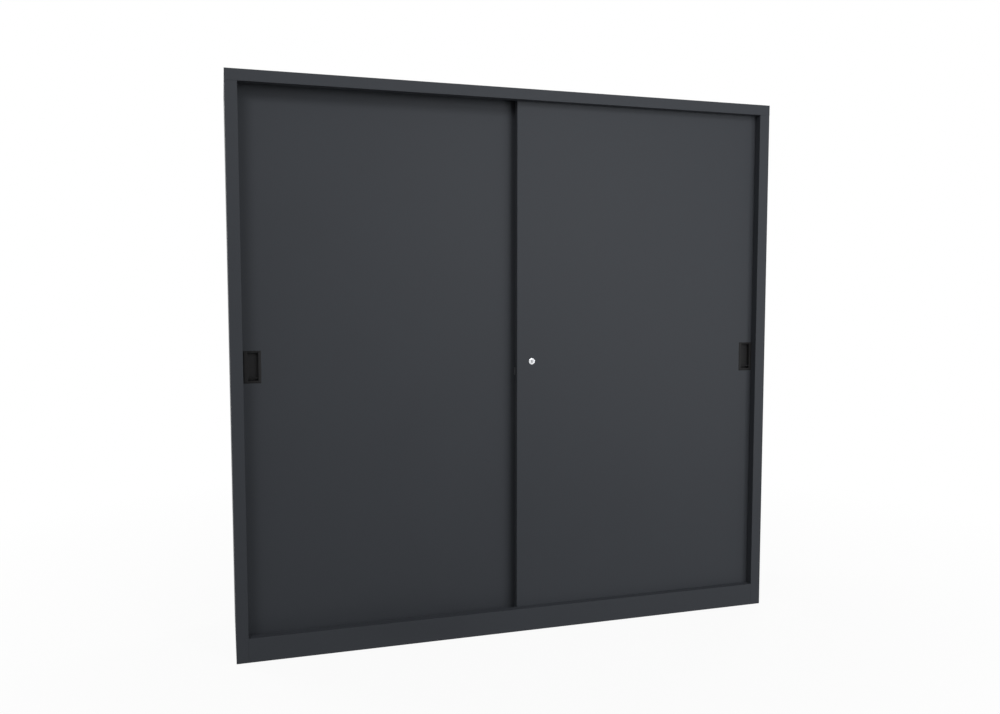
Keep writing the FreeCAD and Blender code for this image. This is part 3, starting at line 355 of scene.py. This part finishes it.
def oval(half_wide, half_tall, power, level, centre):
    """A ring at one y, on the curve |x / a|^p + |z / b|^p = 1: an ellipse for p = 2, near a box for p = 10.

    A point at turn t is (a sgn(cos t) |cos t|^(2 / p), b sgn(sin t) |sin t|^(2 / p)).
    """
    around = 64
    turn = np.linspace(0, 2 * np.pi, around, endpoint=False) + np.pi / around
    across, upward = np.cos(turn), np.sin(turn)
    x = centre[0] + half_wide * np.sign(across) * np.abs(across) ** (2 / power)
    z = centre[2] + half_tall * np.sign(upward) * np.abs(upward) ** (2 / power)
    return np.column_stack([x, np.full(around, level), z])


def outward(points, blocks):
    """Blocks of faces turned so that the volume inside, the sum of p0 . (p1 x p2) / 6, is positive."""
    volume = 0
    for block in blocks:
        corners = points[block]
        volume += np.sum(corners[:, :1] * np.cross(corners[:, 1:-1], corners[:, 2:])) / 6
    return blocks if volume > 0 else [block[:, ::-1] for block in blocks]


def add_piece(name, shells, body, slot, *replaced):
    """One mesh from closed shells, riding on a body with the finish of a slot, in place of frame nodes."""
    faces, offset = [], 0
    for points, blocks in shells:
        for block in outward(points, blocks):
            faces += (block + offset).tolist()
        offset += len(points)
    mesh = bpy.data.meshes.new(name)
    mesh.from_pydata(np.concatenate([points for points, _ in shells]).tolist(), [], faces)
    mesh.validate()
    mesh.shade_smooth()
    mesh.set_sharp_from_angle(angle=CREASE)
    mesh.materials.append(finish_of(slot))
    piece = bpy.data.objects.new(name, mesh)
    bpy.context.scene.collection.objects.link(piece)
    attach(piece, body)
    if replaced:
        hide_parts(*replaced)
    return piece


# Settings.


class CabinetLook(PropertyGroup):
    coat_colour: FloatVectorProperty(
        name="Coat", description="Anthracite powder coat", subtype="COLOR", size=3, default=linear("#3E4146"))
    pull_colour: FloatVectorProperty(
        name="Pulls", description="Moulded plastic of the finger pulls", subtype="COLOR", size=3,
        default=linear("#242425"))
    chrome_colour: FloatVectorProperty(
        name="Chrome", description="Plating of the lock", subtype="COLOR", size=3, default=linear("#DADCDF"))
    zinc_colour: FloatVectorProperty(
        name="Zinc", description="Plating of brackets and lock parts", subtype="COLOR", size=3,
        default=linear("#A9ADB0"))
    aluminium_colour: FloatVectorProperty(
        name="Aluminium", description="Double rail", subtype="COLOR", size=3, default=linear("#BABCBE"))
    nylon_colour: FloatVectorProperty(
        name="Nylon", description="Wheels and top guides", subtype="COLOR", size=3, default=linear("#D9D6CB"))
    rubber_colour: FloatVectorProperty(
        name="Rubber", description="Door stops", subtype="COLOR", size=3, default=linear("#181817"))
    peel: FloatProperty(
        name="Orange peel", description="Spacing of the ripples in the powder coat", subtype="DISTANCE",
        default=4 * MM, min=MM)
    edge: FloatProperty(
        name="Edge", description="Radius of the coat round the sheets' edges", subtype="DISTANCE",
        default=1.2 * MM, min=0)
    # Painted shade: how much darker the coat's colour is painted along edges and joints.
    painted_edge_shade: FloatProperty(
        name="Edge shade", description="How much darker the thin coat is on an edge", subtype="FACTOR",
        default=0.5, min=0, max=1)


class PullShape(PropertyGroup):
    """Reaches are measured across, from the middle of the pull's box."""

    rim_end: FloatProperty(
        name="Rim, end", description="Reach of the rim towards the door's end", subtype="DISTANCE",
        default=30.5 * MM)
    rim_inner: FloatProperty(
        name="Rim, inner", description="Reach of the rim away from the door's end", subtype="DISTANCE",
        default=28 * MM)
    mouth_end: FloatProperty(
        name="Mouth, end", description="Reach of the cup's mouth towards the door's end", subtype="DISTANCE",
        default=16.7 * MM)
    mouth_inner: FloatProperty(
        name="Mouth, inner", description="Reach of the cup's mouth away from the door's end",
        subtype="DISTANCE", default=18.3 * MM)
    proud: FloatProperty(
        name="Proud", description="How far the rim stands out from the door", subtype="DISTANCE",
        default=1.8 * MM)
    bevel: FloatProperty(
        name="Bevel", description="Width of the bevel that runs down to the door", subtype="DISTANCE",
        default=3.6 * MM)
    edge: FloatProperty(
        name="Edge", description="Rounding between the rim and its bevel", subtype="DISTANCE",
        default=0.6 * MM)
    mouth: FloatProperty(
        name="Mouth", description="Rounding of the mouth of the cup", subtype="DISTANCE", default=0.6 * MM)
    foot_rim: FloatProperty(
        name="Foot rim", description="Width of the rim below the cup", subtype="DISTANCE", default=8.5 * MM)
    head_wall: FloatProperty(
        name="Head wall", description="From the rim's top to the head of the cup inside the door",
        subtype="DISTANCE", default=7.7 * MM)
    head_rim: FloatProperty(
        name="Head rim", description="Width of the rim over the flared head of the cup", subtype="DISTANCE",
        default=2.6 * MM)
    draft: FloatProperty(
        name="Draft", description="How much narrower the cup is at its floor, on each side",
        subtype="DISTANCE", default=0.6 * MM)
    floor: FloatProperty(
        name="Floor", description="Rounding between the cup's walls and its floor", subtype="DISTANCE",
        default=2 * MM)
    wall: FloatProperty(
        name="Wall", description="Thickness of the cup's floor", subtype="DISTANCE", default=1.5 * MM)
    rest_level: FloatProperty(
        name="Rest level", description="From the pull's lower edge to the finger rest", subtype="DISTANCE",
        default=16.5 * MM)
    rest_tall: FloatProperty(
        name="Rest height", description="Height of the finger rest", subtype="DISTANCE", default=3 * MM)


class LockShape(PropertyGroup):
    keyway_wide: FloatProperty(
        name="Keyway width", description="Width of the keyway's mouth", subtype="DISTANCE",
        default=3.2 * MM)
    keyway_tall: FloatProperty(
        name="Keyway height", description="Height of the keyway's mouth", subtype="DISTANCE",
        default=9.4 * MM)


class WheelShape(PropertyGroup):
    hub: FloatProperty(
        name="Hub", description="Radius of the hub", subtype="DISTANCE", default=5.6 * MM)
    dish: FloatProperty(
        name="Dish", description="Radius of the dish in each side", subtype="DISTANCE", default=10.6 * MM)
    dish_deep: FloatProperty(
        name="Depth of dish", description="Depth of the dish in each side", subtype="DISTANCE",
        default=1.6 * MM)


class StudioLight(PropertyGroup):
    key_power: FloatProperty(
        name="Key", description="Power of the soft lamp in front, a little to the right", subtype="POWER",
        default=41)
    high_power: FloatProperty(
        name="High", description="Power of the soft lamp above the key", subtype="POWER", default=19)
    left_power: FloatProperty(
        name="Left", description="Power of the soft lamp high on the left", subtype="POWER", default=53)
    low_power: FloatProperty(
        name="Low", description="Power of the soft lamp low on the right", subtype="POWER", default=30)
    rear_power: FloatProperty(
        name="Rear", description="Power of each soft lamp behind, which lights a side, the back and the lid",
        subtype="POWER", default=68)
    ambient: FloatProperty(
        name="Ambient", description="Strength of the even light from all round", default=0.14, min=0)
    backdrop: FloatProperty(
        name="Backdrop", description="Brightness of the backdrop, where 1 is white", default=1.0,
        min=0, max=1)


# Operators.


class CABINET_OT_coat_steel(Operator):
    """Powder-coats the folded carcass, the doors, the shelves and their uprights"""

    bl_idname = "cabinet.coat_steel"
    bl_label = "Coat the folded steel"

    def execute(self, context):
        coat(name for name, slot in SLOT_OF.items() if slot == "powder_coat")
        return {"FINISHED"}


class CABINET_OT_mould_pulls(Operator):
    """Makes the two moulded finger pulls: a bevelled rim round a deep cup, with a rest across its foot"""

    bl_idname = "cabinet.mould_pulls"
    bl_label = "Mould the finger pulls"

    def execute(self, context):
        for door in ("front", "rear"):
            self.mould(f"{door}_finger_pull", context.scene.cabinet_pull)
        return {"FINISHED"}

    def mould(self, node, shape):
        """Rings of rounded rectangles along a section: cup floor, wall, mouth, rim, bevel, back of the cup.

        A row of the section holds, in metres, the ring's reach from the pull's centre towards the door's end,
        away from it, down and up, its y, its corner radius, and the section's rounding there. The cup's head
        flares out where fingers go in.
        """
        low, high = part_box(node)
        centre = (low + high) / 2
        end = math.copysign(1, centre.x)
        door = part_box(node.replace("finger_pull", "door_panel"))[0].y
        rim, cup_floor = door - shape.proud, high.y - shape.wall
        below, above = centre.z - low.z, high.z - centre.z
        outer, inner = shape.mouth_end, shape.mouth_inner
        foot, head = below - shape.foot_rim, above - shape.head_wall
        draft, bevel, lip, head_bevel = shape.draft, shape.bevel, 0.3 * MM, 1 * MM
        edge_end, edge_inner = shape.rim_end - bevel, shape.rim_inner - bevel
        step = draft + 5 * MM
        wide, tall, taper = 19.2 * MM, 48.2 * MM, 0.1 * MM
        flat_wide, flat_tall = 10 * MM, 38 * MM
        floor_corner, mouth_corner, edge_corner, corner = 2 * MM, 1.5 * MM, 0.8 * MM, 1.2 * MM
        section = softened([
            (outer - step, inner - step, foot - step, head - step, cup_floor, floor_corner, 0),
            (outer - draft, inner - draft, foot - draft, head - draft, cup_floor, floor_corner, shape.floor),
            (outer, inner, foot, head, door + 0.8 * MM, mouth_corner, 0.8 * MM),
            (outer + lip, inner + lip, foot + lip, above - shape.head_rim, rim, mouth_corner, shape.mouth),
            (edge_end, edge_inner, below - bevel, above - head_bevel, rim, edge_corner, shape.edge),
            (shape.rim_end, shape.rim_inner, below, above, door, corner, 0.2 * MM),
            (wide + taper, wide + taper, tall + taper, tall + taper, door, corner, 0.2 * MM),
            (wide, wide, tall, tall, high.y, corner, 0.8 * MM),
            (flat_wide, flat_wide, flat_tall, flat_tall, high.y, corner, 0),
        ], closed=False)
        rings = np.stack([self.ring(centre, end, *row) for row in section])
        sides = [centre.x + end * outer, centre.x - end * inner]
        rest = self.rest(sides, low.z + shape.rest_level, shape.rest_tall, door + 0.3 * MM, cup_floor)
        shells = [shell(rings, closed=False), rest]
        add_piece(f"{node}_moulding", shells, BODY_OF[node], "black_plastic", node)

    def ring(self, centre, end, outer, inner, down, up, level, radius):
        """A rounded rectangle about centre, at one y."""
        corners = [(end * outer, -down), (-end * inner, -down), (-end * inner, up), (end * outer, up)]
        flat = softened([(*corner, radius) for corner in corners], steps=7)
        return np.column_stack([centre.x + flat[:, 0], np.full(len(flat), level), centre.z + flat[:, 1]])

    def rest(self, sides, level, tall, nose, floor):
        """A bar across the cup, let into its walls and floor: a soft-nosed section carried along X."""
        back, sunk = floor + 0.5 * MM, 0.3 * MM
        section = softened([
            (back, level, 0.1 * MM),
            (back, level + tall, 0.1 * MM),
            (nose, level + tall, 0.8 * MM),
            (nose, level, 0.8 * MM),
        ])
        outwards = math.copysign(sunk, sides[0] - sides[1])
        ends = [sides[0] + outwards, sides[1] - outwards]
        rings = np.stack([np.column_stack([np.full(len(section), end), section]) for end in ends])
        return shell(rings, closed=False)


class CABINET_OT_turn_lock(Operator):
    """Makes the lock's turned face, the plug with its keyway, and finishes the parts behind the door"""

    bl_idname = "cabinet.turn_lock"
    bl_label = "Turn the lock"

    def execute(self, context):
        coat(("lock_nut", "lock_cam", "cam_screw", "lock_strike"))
        low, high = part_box("lock_housing")
        centre = (low + high) / 2
        face_radius = (high.x - low.x) / 2
        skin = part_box("front_door_panel")[0].y
        bore, barrel = 6.05 * MM, 9 * MM
        outline = softened([
            (bore, low.y, 0.3 * MM),
            (face_radius, low.y, 1.3 * MM),
            (face_radius, skin, 0.2 * MM),
            (barrel, skin, 0.2 * MM),
            (barrel, high.y, 0.5 * MM),
            (bore, high.y, 0.3 * MM),
        ], steps=7)
        turned = [lathe(outline, centre, segments=96)]
        add_piece("lock_face", turned, BODY_OF["lock_housing"], "chrome", "lock_housing")
        self.plug(context.scene.cabinet_lock)
        return {"FINISHED"}

    def plug(self, shape):
        """The plug as ovals from its square shank over the face into the keyway, and a black slab that shuts
        the keyway behind its mouth: it stands for the wafers, and its black is painted shade.
        """
        low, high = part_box("lock_plug")
        centre = (low + high) / 2
        radius, face, seat = (high.x - low.x) / 2, low.y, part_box("lock_cam")[0].y
        wide, tall, soft = shape.keyway_wide / 2, shape.keyway_tall / 2, 0.3 * MM
        shank, deep = 3.6 * MM, 6 * MM
        circle, lip, slot, square = 2, 5, 6, 16
        rings = [
            oval(shank, shank, square, high.y, centre),
            oval(shank, shank, square, seat, centre),
            oval(radius, radius, circle, seat, centre),
            oval(radius, radius, circle, face + soft, centre),
            oval(radius - soft, radius - soft, circle, face, centre),
            oval(wide + soft, tall + soft, lip, face, centre),
            oval(wide, tall, slot, face + soft, centre),
            oval(wide, tall, slot, face + deep, centre),
        ]
        plug = [shell(np.stack(rings), closed=False)]
        add_piece("lock_plug_turned", plug, BODY_OF["lock_plug"], "chrome", "lock_plug")
        # A black slab in the keyway: painted shade for its dark inside, where the wafers sit.
        gap, slab_front, slab_back = 0.05 * MM, face + 0.8 * MM, face + 5 * MM
        slab = [oval(wide - gap, tall - gap, slot, level, centre) for level in (slab_front, slab_back)]
        keyway_slab = [shell(np.stack(slab), closed=False)]
        add_piece("keyway_shade_slab", keyway_slab, BODY_OF["lock_plug"], "black_plastic")


class CABINET_OT_turn_wheels(Operator):
    """Makes the four grooved wheels with their hubs, dished sides and soft rims"""

    bl_idname = "cabinet.turn_wheels"
    bl_label = "Turn the wheels"

    def execute(self, context):
        for node in WHEELS:
            self.wheel(node, context.scene.cabinet_wheel)
        return {"FINISHED"}

    def wheel(self, node, shape):
        """A section turned about the axle: its front half, from bore to groove, and that half mirrored.

        A row holds the radius, y from the wheel's middle and the rounding.
        """
        low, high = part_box(node)
        centre = (low + high) / 2
        rim, half = (high.x - low.x) / 2, (high.y - low.y) / 2
        bore, run, groove, flank = 3.05 * MM, 13 * MM, 1.5 * MM, 0.5 * MM
        web, hub_draft, rim_draft = half - shape.dish_deep, 0.3 * MM, 0.4 * MM
        front = [
            (bore, -half, 0.2 * MM),
            (shape.hub, -half, 0.5 * MM),
            (shape.hub + hub_draft, -web, 0.4 * MM),
            (shape.dish, -web, 0.4 * MM),
            (shape.dish + rim_draft, -half, 0.4 * MM),
            (rim, -half, 0.7 * MM),
            (rim, -groove - flank, 0.3 * MM),
            (run, -groove, 0.3 * MM),
        ]
        rear = [(radius, -y, rounding) for radius, y, rounding in front[::-1]]
        outline = softened(front + rear) + (0, centre.y)
        add_piece(f"{node}_tread", [lathe(outline, centre, segments=72)], BODY_OF[node], "nylon", node)


class CABINET_OT_finish_running_gear(Operator):
    """Finishes the rails, the wheel brackets, the top guides and the rubber stops"""

    bl_idname = "cabinet.finish_running_gear"
    bl_label = "Finish the running gear"

    def execute(self, context):
        coat(name for name in NODES if name.endswith(("_brackets", "_top_guides", "bottom_track")))
        coat(name for name in NODES if name.startswith("stop_"))
        return {"FINISHED"}


class CABINET_OT_finish_clips(Operator):
    """Finishes the shelf clips"""

    bl_idname = "cabinet.finish_clips"
    bl_label = "Finish the shelf clips"

    def execute(self, context):
        coat(["shelf_clips"])
        return {"FINISHED"}


class CABINET_OT_set_studio(Operator):
    """Sets up the floor, the soft lamps, the white backdrop and the camera"""

    bl_idname = "cabinet.set_studio"
    bl_label = "Set up the studio"

    def execute(self, context):
        light = context.scene.cabinet_light
        self.floor(context.scene, light)
        self.world(context.scene, light)
        for name, place, size, power in (
            ("key_lamp", (1.15, -3.7, 2.1), (1.4, 1.3), light.key_power),
            ("high_lamp", (1.2, -3.7, 3.7), (1.5, 1.2), light.high_power),
            ("left_lamp", (-2.6, -3.7, 3.7), (1.5, 1.2), light.left_power),
            ("low_lamp", (2.8, -3.7, 0.8), (1.3, 1.1), light.low_power),
            ("rear_lamp_left", (-3.0, 2.3, 3.2), (1.5, 1.5), light.rear_power),
            ("rear_lamp_right", (3.0, 2.3, 3.2), (1.5, 1.5), light.rear_power),
        ):
            self.lamp(context.scene, name, Vector(place), size, power)
        self.camera(context.scene)
        context.scene.view_settings.view_transform = "Standard"
        return {"FINISHED"}

    def seen_directly(self, tree):
        """1 for rays that show the backdrop: straight, mirrored or through glass."""
        path = add_node(tree, "ShaderNodeLightPath").outputs
        both = add_node(tree, "ShaderNodeMath", {"operation": "MAXIMUM"},
                        {0: path["Is Camera Ray"], 1: path["Is Glossy Ray"]})
        every = add_node(tree, "ShaderNodeMath", {"operation": "MAXIMUM"},
                         {0: both.outputs[0], 1: path["Is Transmission Ray"]})
        return every.outputs[0]

    def floor(self, scene, light):
        """A pale floor: near the cabinet it keeps a faint shadow, and further out it runs into the backdrop.

        The light that it throws back at the cabinet is that of a grey floor, so the doors' feet stay even.
        """
        half, near, far, glow_near = 30, 1.2, 3.0, 0.94
        mesh = bpy.data.meshes.new("studio_floor")
        mesh.from_pydata([(-half, -half, 0), (half, -half, 0), (half, half, 0), (-half, half, 0)], [],
                         [(0, 1, 2, 3)])
        material, tree, place = start_material("pale_studio_floor")
        paint = add_node(tree, "ShaderNodeBsdfDiffuse", None, {"Color": (*linear("#E4E4E2"), 1)})
        thrown_back = add_node(tree, "ShaderNodeBsdfDiffuse", None, {"Color": (*linear("#7C7C7A"), 1)})
        glow = add_node(tree, "ShaderNodeEmission", None, {"Strength": light.backdrop})
        away = add_node(tree, "ShaderNodeVectorMath", {"operation": "LENGTH"}, {0: place}).outputs["Value"]
        share = add_node(tree, "ShaderNodeMapRange", None,
                         {"Value": away, "From Min": near, "From Max": far, "To Min": glow_near,
                          "To Max": 1.0})
        bright = add_node(tree, "ShaderNodeMixShader", None,
                          {0: share.outputs["Result"], 1: paint.outputs[0], 2: glow.outputs[0]})
        whole = add_node(tree, "ShaderNodeMixShader", None,
                         {0: self.seen_directly(tree), 1: thrown_back.outputs[0], 2: bright.outputs[0]})
        add_node(tree, "ShaderNodeOutputMaterial", None, {"Surface": whole.outputs[0]})
        mesh.materials.append(material)
        floor = bpy.data.objects.new("studio_floor", mesh)
        scene.collection.objects.link(floor)

    def world(self, scene, light):
        """White where the backdrop is seen, and a plain even grey light otherwise."""
        world = bpy.data.worlds.new("studio")
        world.use_nodes = True
        tree = world.node_tree
        tree.nodes.clear()
        shares = {"Value": self.seen_directly(tree), "To Min": light.ambient, "To Max": light.backdrop}
        strength = add_node(tree, "ShaderNodeMapRange", None, shares)
        sky = add_node(tree, "ShaderNodeBackground", None,
                       {"Color": (1, 1, 1, 1), "Strength": strength.outputs["Result"]})
        add_node(tree, "ShaderNodeOutputWorld", None, {"Surface": sky.outputs[0]})
        scene.world = world

    def lamp(self, scene, name, place, size, power):
        """A soft box that faces the cabinet's middle."""
        middle = Vector((0, 0, 1))
        light = bpy.data.lights.new(name, "AREA")
        light.shape = "RECTANGLE"
        light.size, light.size_y = size
        light.energy = power
        lamp = bpy.data.objects.new(name, light)
        lamp.location = place
        lamp.rotation_euler = (middle - place).to_track_quat("-Z", "Y").to_euler()
        lamp.visible_camera = False
        scene.collection.objects.link(lamp)

    def camera(self, scene):
        """Left of the middle and at chest height, turned to the right and slightly down."""
        right, down = 17.153, 4.17
        lens = bpy.data.cameras.new("view")
        lens.sensor_width = 36
        lens.lens = 32.35
        lens.clip_end = 200
        camera = bpy.data.objects.new("view", lens)
        camera.location = (-1.0204, -3.2675, 1.2399)
        camera.rotation_euler = (math.radians(90 - down), 0, math.radians(-right))
        scene.collection.objects.link(camera)
        scene.camera = camera


class CABINET_PT_panel(Panel):
    """The cabinet's settings and steps"""

    bl_idname = "CABINET_PT_panel"
    bl_label = "Sliding door cabinet"
    bl_space_type = "VIEW_3D"
    bl_region_type = "UI"
    bl_category = "Cabinet"

    def draw(self, context):
        for group in GROUPS:
            settings = getattr(context.scene, f"cabinet_{group}")
            box = self.layout.box()
            for name in settings.bl_rna.properties.keys():
                if name not in ("rna_type", "name"):
                    box.prop(settings, name)
        for step in STEPS:
            self.layout.operator(step.bl_idname)


STEPS = (
    CABINET_OT_coat_steel,
    CABINET_OT_mould_pulls,
    CABINET_OT_turn_lock,
    CABINET_OT_turn_wheels,
    CABINET_OT_finish_running_gear,
    CABINET_OT_finish_clips,
    CABINET_OT_set_studio,
)
GROUPS = {
    "look": CabinetLook,
    "pull": PullShape,
    "lock": LockShape,
    "wheel": WheelShape,
    "light": StudioLight,
}


def register():
    for group in GROUPS.values():
        bpy.utils.register_class(group)
    for name, group in GROUPS.items():
        setattr(bpy.types.Scene, f"cabinet_{name}", PointerProperty(type=group))
    for each in (*STEPS, CABINET_PT_panel):
        bpy.utils.register_class(each)


def unregister():
    for each in (CABINET_PT_panel, *reversed(STEPS)):
        bpy.utils.unregister_class(each)
    for name in GROUPS:
        delattr(bpy.types.Scene, f"cabinet_{name}")
    for group in reversed(GROUPS.values()):
        bpy.utils.unregister_class(group)


def main():
    register()
    for step in STEPS:
        area, name = step.bl_idname.split(".")
        getattr(getattr(bpy.ops, area), name)()


if __name__ == "__main__":
    main()
